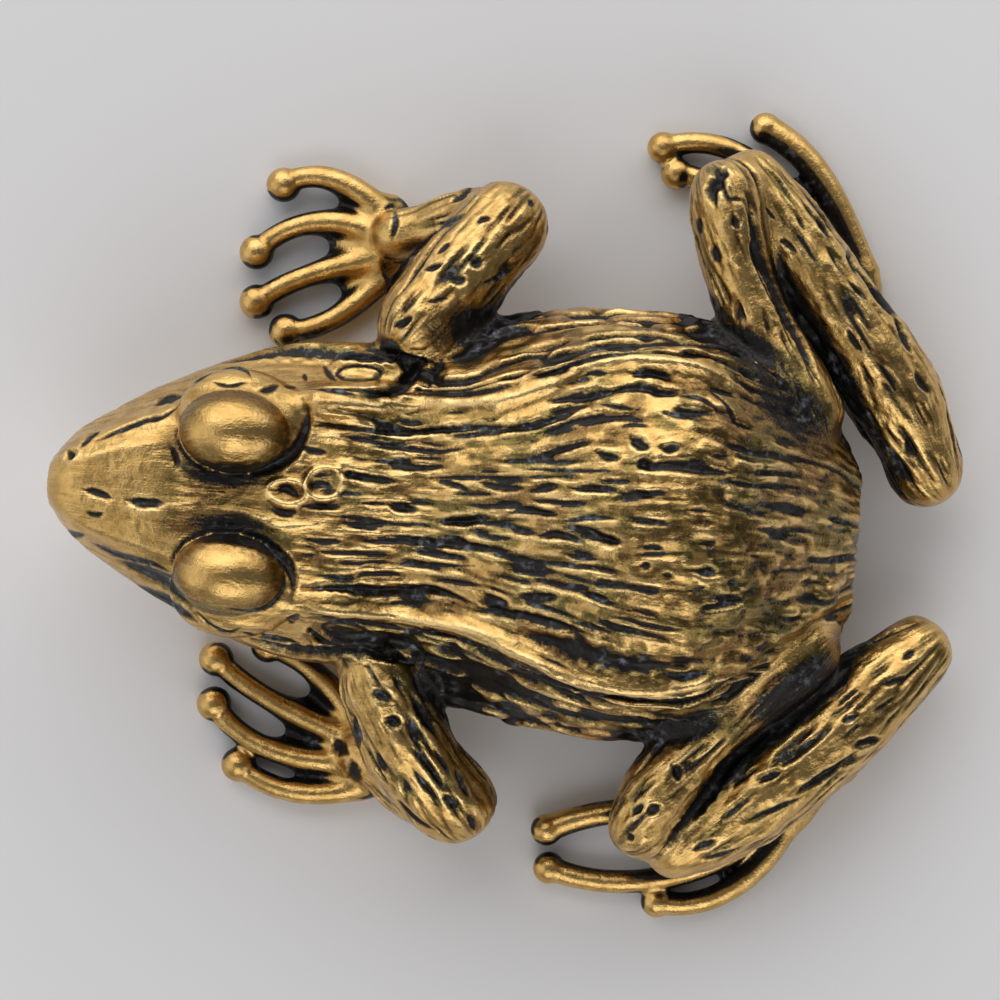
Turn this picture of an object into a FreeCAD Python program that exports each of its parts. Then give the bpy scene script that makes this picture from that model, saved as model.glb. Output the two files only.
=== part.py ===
"""Cast brass frog figurine, sitting, with its forelegs splayed and its hind legs folded.

The real object is one solid brass casting. It is modelled here as its anatomical regions, one closed solid
each, which meet face to face and don't move against each other. Sizes are in millimetres.

Row frame: +Z up, the frog rests on z = 0, its head points to -X and its right side is +Y.
The body, head, jaw and eyes are drawn in a body frame, with x from the snout's tip to the rump and y to the
frog's right. turn_into_place() brings them into the row frame. The limbs are drawn in the row frame.
"""

import FreeCAD
import Part

import math
import os

from FreeCAD import Matrix, Vector

# --- Driving dimensions ---------------------------------------------------------------------------------
SNOUT_X = -19.8
SNOUT_Y = 1.42
HEADING_DEG = -4.4  # the body's axis is turned by this much from +X
NECK_A = 16.8  # where the head ends and the torso begins, from the snout's tip
JAW_INSET = 0.93  # the lower jaw is narrower than the upper lip that overhangs it
MOUTH_Z_AT_SNOUT = 5.6
MOUTH_Z_AT_NECK = 4.5
# The eyes sit a little to the left of the body's axis: (distance from the snout's tip, y, z).
EYES = {"right": (8.15, 2.7, 9.9), "left": (8.35, -3.4, 9.9)}
EYE_RADII = (2.35, 1.75, 1.9)
LID_OUTWARD = 0.5
LID_BACK = 0.35
LID_DOWN = 0.95
LID_RADII = (2.9, 2.2, 1.6)
EARDRUM_A = 13.6
EARDRUM_Y = 5.75
EARDRUM_RADII = (1.6, 0.85, 0.75)
EARDRUM_TILT_DEG = 8.0
WEB_BOTTOM = 0.15
WEB_THICKNESS = 0.45
WEB_HOLLOW = 0.35  # how far a web's free edge is drawn in, as a share of the gap between the digits
BIG = 60.0  # a cutting box's side, larger than the frog

# Sections of the torso and of the head, from front to back: distance from the snout's tip, half width,
# height of the widest line, half width and height of the upper fold, top and bottom height.
TORSO_SECTIONS = [
    (NECK_A, 7.8, 5.0, 4.9, 9.2, 10.3, 2.0),
    (18.6, 8.5, 4.8, 5.2, 9.7, 11.0, 1.2),
    (20.6, 9.0, 4.6, 5.8, 10.3, 11.8, 0.4),
    (23.2, 9.3, 4.4, 6.5, 10.9, 12.8, -0.3),
    (26.0, 9.4, 4.4, 6.9, 11.1, 13.5, -0.5),
    (28.6, 9.1, 4.6, 6.5, 10.7, 13.3, -0.3),
    (31.0, 7.9, 4.9, 5.3, 9.5, 11.8, 0.5),
    (33.0, 6.0, 5.0, 3.9, 8.2, 9.5, 1.7),
    (34.4, 4.5, 5.2, 2.8, 7.0, 7.9, 2.8),
    (35.2, 3.0, 5.4, 1.8, 6.2, 6.6, 4.0),
]
HEAD_SECTIONS = [
    (0.12, 0.95, 5.9, 0.6, 7.0, 7.3, 5.2),
    (0.6, 1.6, 5.8, 1.1, 7.6, 8.0, 4.9),
    (1.4, 2.45, 5.75, 1.6, 8.0, 8.5, 4.6),
    (2.4, 3.15, 5.7, 2.0, 8.3, 8.8, 4.4),
    (4.5, 4.4, 5.5, 2.7, 8.9, 9.3, 3.9),
    (6.7, 5.5, 5.3, 3.5, 9.3, 9.5, 3.5),
    (8.9, 6.4, 5.1, 4.0, 9.4, 9.6, 3.1),
    (11.1, 6.9, 4.9, 4.3, 9.4, 9.8, 2.8),
    (13.9, 7.05, 4.8, 4.6, 9.3, 10.0, 2.4),
    (NECK_A, 7.2, 4.7, 4.9, 9.2, 10.3, 2.0),
]

# The fold that runs from behind each eye along the back: distance from the snout's tip and half width.
RIDGE_RADIUS = 0.55
RIDGES = {
    "right": [(11.4, 4.2), (13.5, 4.5), (16.0, 4.8), (18.6, 5.1), (20.6, 5.7), (22.8, 6.5), (25.2, 7.0),
              (27.4, 7.0), (29.4, 6.8), (31.2, 6.1)],
    "left": [(11.4, 4.2), (13.5, 4.5), (16.0, 4.8), (18.6, 5.1), (20.6, 5.8), (22.8, 6.6), (25.2, 7.1),
             (27.4, 7.0), (29.2, 6.2), (30.8, 4.6), (32.4, 3.3), (33.8, 2.4)],
}

# Each limb segment's centre line with its half width, (x, y, z, radius), and its height over its width.
LIMBS = {
    "right_upper_arm": ([(-3.5, 8.1, 6.2, 2.0), (-1.8, 10.4, 5.6, 2.1), (0.0, 12.5, 4.8, 1.95)], 1.0),
    "right_forearm": ([(-0.6, 12.8, 3.2, 1.5), (-2.7, 12.7, 2.4, 1.35), (-4.7, 12.3, 1.7, 1.1)], 1.0),
    "left_upper_arm": ([(-5.3, -7.3, 6.2, 1.9), (-4.2, -10.0, 5.6, 2.05), (-2.3, -12.5, 4.8, 1.95)], 1.0),
    "left_forearm": ([(-3.0, -12.5, 3.2, 1.5), (-4.7, -11.7, 2.4, 1.35), (-6.2, -10.7, 1.7, 1.1)], 1.0),
    "right_thigh": (
        [(13.1, 4.4, 5.9, 1.6), (11.4, 7.3, 5.9, 1.55), (10.1, 10.6, 5.9, 1.45), (9.6, 13.8, 5.7, 1.55)], 1.4),
    "right_shin": (
        [(18.5, 1.9, 3.0, 1.65), (17.3, 4.7, 3.6, 2.05), (15.4, 7.7, 4.2, 2.0), (13.7, 10.2, 4.5, 1.85),
         (12.2, 12.7, 4.7, 1.6), (10.8, 14.5, 4.8, 1.35)], 1.15),
    "right_foot": ([(17.8, 3.6, 0.8, 1.0), (16.9, 7.0, 0.8, 1.15), (15.7, 10.4, 0.7, 1.05)], 0.85),
    "left_thigh": (
        [(13.0, -5.9, 5.9, 1.6), (10.4, -8.0, 5.9, 1.6), (8.0, -10.3, 5.9, 1.5), (6.1, -13.5, 5.7, 1.55)], 1.4),
    "left_shin": (
        [(18.1, -6.2, 3.0, 1.6), (15.8, -8.1, 3.6, 2.1), (12.9, -10.7, 4.2, 2.15), (9.9, -13.2, 4.6, 1.85),
         (7.5, -14.6, 4.8, 1.35)], 1.15),
    "left_foot": ([(16.8, -8.0, 0.8, 1.0), (14.8, -10.9, 0.8, 1.2), (12.5, -13.3, 0.7, 1.15)], 0.85),
}

# Each hand's palm: centre and radii of a flattened ellipsoid, and its direction in degrees from +X.
PALMS = {
    "right_hand": ((-5.6, 12.0, 0.55), (1.6, 2.3, 0.95), -20.0),
    "left_hand": ((-6.6, -10.6, 0.55), (1.5, 2.2, 0.95), 10.0),
}

# Each digit's centre line from its root to its tip with its radius, (x, y, z, radius).
DIGITS = {
    "right_finger_1": [(-5.5, 13.4, 1.0, 0.62), (-6.8, 14.47, 1.05, 0.55), (-8.2, 14.93, 0.95, 0.5),
                       (-9.8, 14.6, 0.65, 0.5)],
    "right_finger_2": [(-5.7, 12.4, 1.1, 0.6), (-7.2, 12.87, 1.1, 0.55), (-8.8, 12.83, 0.95, 0.5),
                       (-11.0, 11.6, 0.7, 0.5)],
    "right_finger_3": [(-5.5, 11.3, 1.1, 0.6), (-7.2, 10.97, 1.05, 0.52), (-9.0, 10.43, 0.95, 0.5),
                       (-11.0, 9.4, 0.65, 0.5)],
    "right_finger_4": [(-5.3, 10.4, 1.0, 0.6), (-6.6, 9.27, 1.0, 0.52), (-8.0, 8.43, 0.9, 0.5),
                       (-9.7, 8.1, 0.6, 0.48)],
    "left_finger_1": [(-6.6, -9.2, 1.0, 0.6), (-7.6, -7.83, 1.0, 0.52), (-8.8, -6.77, 0.9, 0.5),
                      (-10.5, -5.9, 0.6, 0.48)],
    "left_finger_2": [(-6.6, -10.1, 1.1, 0.6), (-8.4, -9.33, 1.05, 0.52), (-10.3, -8.37, 0.95, 0.5),
                      (-12.8, -6.5, 0.7, 0.5)],
    "left_finger_3": [(-6.6, -11.0, 1.1, 0.6), (-8.8, -10.93, 1.05, 0.52), (-10.7, -10.37, 0.95, 0.5),
                      (-12.9, -8.5, 0.7, 0.5)],
    "left_finger_4": [(-6.0, -12.0, 1.0, 0.6), (-7.9, -12.43, 1.0, 0.52), (-9.8, -12.27, 0.9, 0.5),
                      (-11.8, -11.2, 0.65, 0.5)],
    "right_toe_1": [(16.1, 10.6, 0.85, 0.6), (15.25, 12.73, 0.9, 0.58), (13.8, 15.27, 0.9, 0.62),
                    (11.65, 17.1, 0.7, 0.65)],
    "right_toe_2": [(15.7, 10.7, 0.85, 0.55), (13.17, 13.62, 0.9, 0.55), (10.53, 15.93, 0.85, 0.5),
                    (7.1, 16.25, 0.6, 0.5)],
    "right_toe_3": [(15.4, 10.4, 0.85, 0.55), (12.37, 12.47, 0.9, 0.55), (9.73, 14.43, 0.85, 0.5),
                    (7.7, 15.1, 0.6, 0.5)],
    "left_toe_1": [(12.3, -12.9, 0.85, 0.55), (8.57, -13.13, 0.9, 0.55), (5.13, -13.27, 0.85, 0.55),
                   (1.9, -14.1, 0.65, 0.6)],
    "left_toe_2": [(12.3, -13.6, 0.85, 0.55), (8.6, -15.8, 0.9, 0.55), (5.4, -16.4, 0.85, 0.52),
                   (2.0, -15.8, 0.6, 0.55)],
    "left_toe_3": [(12.7, -13.5, 0.85, 0.6), (11.2, -15.8, 0.9, 0.55), (9.3, -17.1, 0.8, 0.52),
                   (6.8, -17.3, 0.6, 0.55)],
}
TIP_RADII = {"finger": 0.78, "toe": 0.72}
# How far the webs reach along the digits beside them, as a share of their length.
WEB_REACH = {"right_hand": 0.5, "left_hand": 0.55, "right_foot": 0.7, "left_foot": 0.6}
# A round end's sections: distance beyond the end's centre and radius, as shares of the end's radius.
ROUND_END = [(0.97, 0.243), (0.85, 0.527), (0.5, 0.866)]


# --- Helpers --------------------------------------------------------------------------------------------
def fused(shapes):
    first = shapes[0]
    return first.multiFuse(shapes[1:]) if len(shapes) > 1 else first


def cut_by(shape, others):
    """The shape without what it shares with the others."""
    for other in others:
        if shape.BoundBox.intersect(other.BoundBox):
            shape = shape.cut(other)
    return shape


def largest(shape):
    """The largest solid of a cut shape, without its slivers."""
    return max(shape.Solids, key=lambda s: s.Volume)


def above_ground(shape):
    """What of the shape stands above z = 0, so that soles and belly are flat."""
    return shape.cut(Part.makeBox(2 * BIG, 2 * BIG, BIG, Vector(-BIG, -BIG, -BIG)))


def top_at(shapes, x, y):
    """How high the shapes reach above the point (x, y)."""
    upright = Part.makeLine(Vector(x, y, 0), Vector(x, y, BIG))
    insides = [upright.common(shape) for shape in shapes]
    return max(inside.BoundBox.ZMax for inside in insides if inside.Edges)


def to_row(a, y, z=0.0):
    """A point of the body frame, in the row frame."""
    turn = math.radians(HEADING_DEG)
    x_row = SNOUT_X + a * math.cos(turn) - y * math.sin(turn)
    y_row = SNOUT_Y + a * math.sin(turn) + y * math.cos(turn)
    return Vector(x_row, y_row, z)


def turn_into_place(shape):
    """Moves a shape from the body frame into the row frame."""
    moved = shape.copy()
    moved.rotate(Vector(0, 0, 0), Vector(0, 0, 1), HEADING_DEG)
    moved.translate(Vector(SNOUT_X, SNOUT_Y, 0))
    return moved


def ellipsoid(centre, radii, heading_deg=0.0):
    scale = Matrix()
    scale.scale(*radii)
    shape = Part.makeSphere(1.0).transformGeometry(scale)
    shape.rotate(Vector(0, 0, 0), Vector(0, 0, 1), heading_deg)
    shape.translate(Vector(*centre))
    return shape


def closed_spline(points):
    """A closed smooth wire through the points."""
    curve = Part.BSplineCurve()
    curve.interpolate(points, PeriodicFlag=True)
    return Part.Wire([curve.toShape()])


def body_section(a, width, width_z, fold, fold_z, top, bottom, inset=1.0):
    """One closed section across the body frame, at distance a from the snout."""
    wide = width * inset
    half = [
        (0.55 * fold, fold_z + 0.8 * (top - fold_z)),
        (fold, fold_z),
        (fold + 0.62 * (wide - fold), width_z + 0.55 * (fold_z - width_z)),
        (wide, width_z),
        (0.88 * wide, width_z - 0.55 * (width_z - bottom)),
        (0.55 * wide, bottom + 0.1 * (width_z - bottom)),
    ]
    right = [Vector(a, y, z) for y, z in half]
    left = [Vector(a, -y, z) for y, z in reversed(half)]
    return closed_spline([Vector(a, 0, top)] + right + [Vector(a, 0, bottom)] + left)


def body_loft(sections, inset=1.0):
    return Part.makeLoft([body_section(*s, inset=inset) for s in sections], True, False)


def round_section(centre, tangent, radius, tall=1.0, corners=8):
    """A closed section across a limb, tall times as high as it is wide."""
    side = tangent.cross(Vector(0, 0, 1)).normalize()
    up = side.cross(tangent).normalize()
    points = []
    for i in range(corners):
        turn = 2 * math.pi * i / corners
        points.append(centre + side * (radius * math.cos(turn)) + up * (tall * radius * math.sin(turn)))
    return closed_spline(points)


def centre_line(points):
    curve = Part.BSplineCurve()
    curve.interpolate([Vector(*p[:3]) for p in points])
    return curve


def tube(points, tall=1.0, round_ends=True):
    """A tapering solid along its centre line, through its radii."""
    curve = centre_line(points)
    centres = [Vector(*p[:3]) for p in points]
    tangents = [curve.tangent(curve.parameter(c))[0] for c in centres]
    wires = [round_section(c, t, p[3], tall) for c, t, p in zip(centres, tangents, points)]
    if round_ends:
        first, last = points[0][3], points[-1][3]
        start = [
            round_section(centres[0] - tangents[0] * (ahead * first), tangents[0], share * first, tall)
            for ahead, share in ROUND_END
        ]
        end = [
            round_section(centres[-1] + tangents[-1] * (ahead * last), tangents[-1], share * last, tall)
            for ahead, share in reversed(ROUND_END)
        ]
        wires = start + wires + end
    return Part.makeLoft(wires, True, False)


def along(curve, share):
    """The point at a share of the curve's length, on the webs' lower face."""
    first, last = curve.FirstParameter, curve.LastParameter
    at = curve.value(first + share * (last - first))
    return Vector(at.x, at.y, WEB_BOTTOM)


def webbed_sheet(lines, reach, steps=6):
    """A thin skin between digits, with its free edges drawn in towards the digits' roots."""
    curves = [centre_line(line) for line in lines]
    roots = [along(c, 0) for c in curves]
    ends = [along(c, reach) for c in curves]
    outline = [roots[0], along(curves[0], reach / 2), ends[0]]
    for i in range(len(lines) - 1):
        middle = (ends[i] + ends[i + 1]) * 0.5
        inwards = ((roots[i] + roots[i + 1]) * 0.5 - middle).normalize()
        depth = 4 * WEB_HOLLOW * ends[i].distanceToPoint(ends[i + 1])
        for step in range(1, steps + 1):
            t = step / steps
            outline.append(ends[i] + (ends[i + 1] - ends[i]) * t + inwards * (depth * t * (1 - t)))
    outline += [along(curves[-1], reach / 2), roots[-1], roots[0]]
    return Part.Face(Part.makePolygon(outline)).extrude(Vector(0, 0, WEB_THICKNESS))


# --- Sub-parts ------------------------------------------------------------------------------------------
def below_mouth():
    """Everything under the slanting plane of the mouth, in the body frame."""
    slope = (MOUTH_Z_AT_NECK - MOUTH_Z_AT_SNOUT) / NECK_A
    half = BIG / 2
    profile = [
        Vector(-half, -half, MOUTH_Z_AT_SNOUT - slope * half),
        Vector(half, -half, MOUTH_Z_AT_SNOUT + slope * half),
        Vector(half, -half, -half),
        Vector(-half, -half, -half),
    ]
    return Part.Face(Part.makePolygon(profile + profile[:1])).extrude(Vector(0, BIG, 0))


def eye(side):
    return ellipsoid(EYES[side], EYE_RADII)


def eyelid(side):
    """The bulge that the eye sits in, larger on its outer side."""
    a, y, z = EYES[side]
    outward = math.copysign(LID_OUTWARD, y)
    return ellipsoid((a + LID_BACK, y + outward, z - LID_DOWN), LID_RADII, math.copysign(8.0, -y))


def body_parts():
    """Torso, head, lower jaw and eyes, in the row frame."""
    torso = above_ground(body_loft(TORSO_SECTIONS))
    skull = body_loft(HEAD_SECTIONS).cut(below_mouth())
    skull = fused([skull, eyelid("right"), eyelid("left")])
    eyes = {side: eye(side) for side in EYES}
    skull = cut_by(skull, eyes.values())
    jaw = body_loft(HEAD_SECTIONS, inset=JAW_INSET).common(below_mouth())
    found = {"torso": torso, "head": skull, "lower_jaw": jaw, "right_eye": eyes["right"], "left_eye": eyes["left"]}
    return {name: turn_into_place(shape) for name, shape in found.items()}


def back_ridge(side, body):
    """The fold of skin from behind the eye along the back, lying on the body."""
    sign = 1 if side == "right" else -1
    points = []
    for a, y in RIDGES[side]:
        at = to_row(a, sign * y)
        points.append((at.x, at.y, top_at(body, at.x, at.y) - 0.15, RIDGE_RADIUS))
    return tube(points)


def eardrum(side, body):
    """The low oval disc behind the eye."""
    sign = 1 if side == "right" else -1
    at = to_row(EARDRUM_A, sign * EARDRUM_Y)
    centre = (at.x, at.y, top_at(body, at.x, at.y) - 0.25)
    return ellipsoid(centre, EARDRUM_RADII, HEADING_DEG - sign * EARDRUM_TILT_DEG)


def digits_of(side, kind):
    return sorted(name for name in DIGITS if name.startswith(f"{side}_{kind}"))


def digit(name, kind):
    """A tapering finger or toe with a round tip pad."""
    points = DIGITS[name]
    tip = Part.makeSphere(TIP_RADII[kind], Vector(*points[-1][:3]))
    return above_ground(tube(points, round_ends=False).fuse(tip))


def extremity(kind, side, middle, limbs):
    """A hand or foot, its digits and the webs between them. Each is cut by the ones before it."""
    owner = f"{side}_hand" if kind == "finger" else f"{side}_foot"
    names = digits_of(side, kind)
    middle = largest(cut_by(above_ground(middle), limbs))
    digits = {}
    for name in names:
        free = cut_by(digit(name, kind), [*limbs, middle])
        digits[name] = largest(cut_by(free, list(digits.values())))
    sheet = webbed_sheet([DIGITS[name] for name in names], WEB_REACH[owner])
    sheet = largest(cut_by(sheet, [*limbs, middle, *digits.values()]))
    return {owner: middle, **digits, f"{owner}_web": sheet}


def foreleg(side, body):
    """Upper arm, forearm, hand and fingers. Each is cut by the ones before it."""
    upper = tube(*LIMBS[f"{side}_upper_arm"])
    fore = above_ground(tube(*LIMBS[f"{side}_forearm"]))
    palm = ellipsoid(*PALMS[f"{side}_hand"])
    found = {
        f"{side}_upper_arm": largest(cut_by(upper, body)),
        f"{side}_forearm": largest(cut_by(fore, [upper, *body])),
    }
    found.update(extremity("finger", side, palm, [upper, fore, *body]))
    return found


def hind_leg(side, body):
    """Thigh, shin, foot and toes. Each is cut by the ones before it."""
    thigh = tube(*LIMBS[f"{side}_thigh"])
    shin = tube(*LIMBS[f"{side}_shin"])
    sole = tube(*LIMBS[f"{side}_foot"])
    found = {
        f"{side}_thigh": largest(cut_by(thigh, body)),
        f"{side}_shin": largest(cut_by(shin, [thigh, *body])),
    }
    found.update(extremity("toe", side, sole, [thigh, shin, *body]))
    return found


def centred(parts):
    """Moves everything so that the whole frog's box stands centred on the origin."""
    points = Part.makeCompound(list(parts.values())).tessellate(0.02)[0]
    lows = [min(p[i] for p in points) for i in range(3)]
    highs = [max(p[i] for p in points) for i in range(3)]
    shift = Vector(-(lows[0] + highs[0]) / 2, -(lows[1] + highs[1]) / 2, -lows[2])
    for shape in parts.values():
        shape.translate(shift)
    return parts, shift


def main():
    parts = body_parts()
    body = [parts[name] for name in ("torso", "head", "lower_jaw")]
    for side in ("right", "left"):
        parts.update(foreleg(side, body))
        parts.update(hind_leg(side, body))
        ridge = back_ridge(side, body)
        arm = parts[f"{side}_upper_arm"]
        thigh = parts[f"{side}_thigh"]
        parts[f"{side}_back_ridge"] = largest(cut_by(ridge, [*body, parts[f"{side}_eye"], arm, thigh]))
        parts[f"{side}_eardrum"] = largest(cut_by(eardrum(side, body), [*body, ridge, arm]))
    parts = {name: largest(shape) for name, shape in parts.items()}
    parts, shift = centred(parts)
    os.makedirs("parts", exist_ok=True)
    for name, shape in sorted(parts.items()):
        shape.exportStep(f"parts/{name}.step")
        print(f"{name:18s} {len(shape.Faces)} faces  {shape.Volume:9.3f} mm3  valid {shape.isValid()}")
    print("moved by", shift.x, shift.y, shift.z)
    print("total", sum(shape.Volume for shape in parts.values()), "mm3")


main()
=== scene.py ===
import math

import bpy
import numpy as np
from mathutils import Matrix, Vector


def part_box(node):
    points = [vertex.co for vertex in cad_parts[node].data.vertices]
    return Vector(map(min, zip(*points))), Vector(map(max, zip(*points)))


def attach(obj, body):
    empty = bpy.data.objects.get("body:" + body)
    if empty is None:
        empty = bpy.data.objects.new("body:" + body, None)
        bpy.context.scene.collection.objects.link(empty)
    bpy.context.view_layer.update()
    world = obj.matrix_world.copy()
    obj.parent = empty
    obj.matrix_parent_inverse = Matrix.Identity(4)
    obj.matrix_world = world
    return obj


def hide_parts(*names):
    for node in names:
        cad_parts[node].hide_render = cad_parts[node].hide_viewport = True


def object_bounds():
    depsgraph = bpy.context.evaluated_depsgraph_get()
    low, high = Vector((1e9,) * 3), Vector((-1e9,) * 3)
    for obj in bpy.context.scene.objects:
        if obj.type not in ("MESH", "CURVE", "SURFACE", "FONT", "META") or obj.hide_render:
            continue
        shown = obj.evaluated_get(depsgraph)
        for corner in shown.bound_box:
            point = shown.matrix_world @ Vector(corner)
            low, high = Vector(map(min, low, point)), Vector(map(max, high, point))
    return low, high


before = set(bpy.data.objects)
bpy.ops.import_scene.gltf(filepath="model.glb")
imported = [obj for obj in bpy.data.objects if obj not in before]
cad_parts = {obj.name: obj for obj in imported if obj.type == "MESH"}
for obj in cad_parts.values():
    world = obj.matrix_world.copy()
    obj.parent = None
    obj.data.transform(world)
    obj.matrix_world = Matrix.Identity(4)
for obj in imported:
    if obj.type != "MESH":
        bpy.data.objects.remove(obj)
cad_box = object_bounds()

import openvdb as vdb

# The frog is one antiqued brass casting. The CAD regions are melted together on a fine grid, the skin's
# folds, grooves and pits are pressed into that surface, and it is divided into closed pieces again.
# Lengths are in millimetres up to the moment the pieces are made.
MM = 0.001
CELL = 0.08
BAND = 1.3
# A coarser grid, for how closed in a spot is from further away.
WIDE_CELL = 0.3
WIDE_BAND = 3.0
# What lies lower than this stays flat, because the frog rests on it.
RESTS_BELOW = 0.02

# How softly each region melts into what it touches, in mm.
MELT = {
    "torso": 0.0, "head": 0.0, "lower_jaw": 0.0, "eye": 0.25, "back_ridge": 0.9, "eardrum": 0.3,
    "upper_arm": 0.8, "forearm": 0.45, "hand": 0.5, "finger": 0.4, "hand_web": 0.9,
    "thigh": 0.7, "shin": 0.3, "foot": 0.4, "toe": 0.3, "foot_web": 0.6,
}
LIMBS = ("upper_arm", "forearm", "thigh", "shin")
# These regions are melted first, and the rest follow in the order of their names.
ORDER = [
    "torso", "head", "lower_jaw", "right_eye", "left_eye", "right_back_ridge", "left_back_ridge",
    "right_eardrum", "left_eardrum",
]


# --- The melted surface ---------------------------------------------------------------------------------
def plain(node):
    """A node's name without its side and number."""
    return node.removeprefix("right_").removeprefix("left_").rstrip("0123456789_")


def node_mesh(node):
    """A CAD node's vertices in mm, and its triangles."""
    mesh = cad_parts[node].data
    co = np.zeros(len(mesh.vertices) * 3, np.float32)
    mesh.vertices.foreach_get("co", co)
    mesh.calc_loop_triangles()
    tri = np.zeros(len(mesh.loop_triangles) * 3, np.int32)
    mesh.loop_triangles.foreach_get("vertices", tri)
    return co.reshape(-1, 3) / MM, tri.reshape(-1, 3).astype(np.uint32)


class Grid:
    """A dense box of signed distances, in mm, negative inside."""

    def __init__(self, cell, band):
        low, high = np.array(cad_box[0]) / MM - band, np.array(cad_box[1]) / MM + band
        self.cell, self.band = cell, band
        self.low = np.floor(low / cell).astype(int)
        self.shape = tuple(np.ceil(high / cell).astype(int) - self.low + 1)
        self.values = np.full(self.shape, band, np.float32)

    def at(self, points):
        """The distances at the points, interpolated."""
        spot = np.clip(points / self.cell - self.low, 0, np.array(self.shape) - 1.001)
        base = spot.astype(int)
        part = (spot - base).astype(np.float32)
        flat = self.values.ravel()
        stride = (self.shape[1] * self.shape[2], self.shape[2], 1)
        start = base @ np.array(stride)
        found = np.zeros(len(points), np.float32)
        for corner in range(8):
            weight = np.ones(len(points), np.float32)
            shift = 0
            for axis in range(3):
                step = corner >> axis & 1
                shift += step * stride[axis]
                weight *= part[:, axis] if step else 1 - part[:, axis]
            found += weight * flat[start + shift]
        return found

    def place(self, points):
        """The grid index of each point's nearest cell."""
        index = np.round(points / self.cell).astype(int) - self.low
        return tuple(np.clip(index, 0, np.array(self.shape) - 1).T)


def melt(old, new, softness):
    """The smooth minimum of two distances."""
    if softness == 0:
        return np.minimum(old, new)
    share = np.clip(0.5 + 0.5 * (new - old) / softness, 0, 1)
    return new + (old - new) * share - softness * share * (1 - share)


def melted_field(nodes, cell, band):
    """All nodes melted into one field, and the index of the node that each cell is nearest to."""
    field = Grid(cell, band)
    nearest = np.full(field.shape, band, np.float32)
    label = np.zeros(field.shape, np.uint8)
    for index, node in enumerate(nodes):
        points, triangles = node_mesh(node)
        grid = vdb.FloatGrid.createLevelSetFromPolygons(
            points.astype(np.float32), triangles=triangles, halfWidth=band / cell,
            transform=vdb.createLinearTransform(voxelSize=cell))
        first, last = (np.array(c) for c in grid.evalActiveVoxelBoundingBox())
        first = np.maximum(first, field.low)
        last = np.minimum(last, field.low + np.array(field.shape) - 1)
        own = np.zeros(tuple(last - first + 1), np.float32)
        grid.copyToArray(own, ijk=tuple(int(v) for v in first))
        box = tuple(slice(s, s + n) for s, n in zip(first - field.low, own.shape))
        field.values[box] = melt(field.values[box], own, MELT[plain(node)])
        closer = own < nearest[box]
        nearest[box][closer] = own[closer]
        label[box][closer] = index
    return field, label


def blur(values, times):
    """The values averaged with their neighbours along all three directions."""
    values = values.copy()
    for axis in list(range(3)) * times:
        middle = [slice(None)] * 3
        before, after = list(middle), list(middle)
        middle[axis], before[axis], after[axis] = slice(1, -1), slice(0, -2), slice(2, None)
        values[tuple(middle)] = (
            0.5 * values[tuple(middle)] + 0.25 * values[tuple(before)] + 0.25 * values[tuple(after)])
    return values


def soften_neck(field):
    """The step where the head's sections meet the torso's is smoothed away."""
    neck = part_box("head")[1][0] / MM
    reach = 2.2
    times_at_finest, finest = 24, 0.08
    first = int((neck - reach) / field.cell) - field.low[0]
    last = int((neck + reach) / field.cell) - field.low[0]
    slab = field.values[first:last]
    x = (np.arange(first, last) + field.low[0]) * field.cell
    share = np.clip(1.4 - 1.4 * np.abs(x - neck) / reach, 0, 1).astype(np.float32)
    times = int(times_at_finest * (finest / field.cell) ** 2)
    field.values[first:last] = slab + (blur(slab, times) - slab) * share[:, None, None]


def skin_of(field):
    """The field's surface as vertices and quads."""
    grid = vdb.FloatGrid(field.band)
    grid.transform = vdb.createLinearTransform(voxelSize=field.cell)
    grid.copyFromArray(field.values, ijk=tuple(int(v) for v in field.low))
    points, triangles, quads = grid.convertToPolygons(isovalue=0.0, adaptivity=0.0)
    return points.astype(float), quads.astype(int)


def normals_of(points, quads):
    """Unit normals at the vertices, weighted by the area of the quads."""
    across = points[quads[:, 2]] - points[quads[:, 0]]
    other = points[quads[:, 3]] - points[quads[:, 1]]
    face = np.cross(across, other)
    total = np.zeros_like(points)
    for corner in range(4):
        for axis in range(3):
            total[:, axis] += np.bincount(quads[:, corner], face[:, axis], len(points))
    return total / np.maximum(np.linalg.norm(total, axis=1, keepdims=True), 1e-12)


def evened(values, quads, times):
    """A value per vertex, averaged with its neighbours again and again."""
    count = sum(np.bincount(quads[:, c], minlength=len(values)) for c in range(4))
    for _ in range(times):
        middle = values[quads].mean(axis=1)
        values = sum(np.bincount(quads[:, c], middle, len(values)) for c in range(4)) / np.maximum(count, 1)
    return values


# --- Noise and coordinates ------------------------------------------------------------------------------
def noise(seed, *coords):
    """Smooth noise between 0 and 1 over two or three coordinates, one lump to each unit."""
    primes = (73856093, 19349663, 83492791)
    size = 4096
    table = np.random.default_rng(seed).random(size)
    cells = [np.floor(c).astype(np.int64) for c in coords]
    parts = [c - f for c, f in zip(coords, cells)]
    parts = [t * t * (3 - 2 * t) for t in parts]
    total = 0
    for corner in range(2 ** len(coords)):
        key, weight = 0, 1
        for axis, (cell, part, prime) in enumerate(zip(cells, parts, primes)):
            step = corner >> axis & 1
            key = key ^ (cell + step) * prime
            weight = weight * (part if step else 1 - part)
        total = total + weight * table[key & (size - 1)]
    return total


def smooth(value, low, high):
    """A soft step from 0 at low to 1 at high."""
    t = np.clip((value - low) / (high - low), 0, 1)
    return t * t * (3 - 2 * t)


# The body's own plan coordinates: which way it heads, and where its snout is.
HEADING = math.radians(-4.4)
ALONG = np.array([math.cos(HEADING), math.sin(HEADING)])
ACROSS = np.array([-math.sin(HEADING), math.cos(HEADING)])
SNOUT = np.array([-20.0, 1.52])

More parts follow.
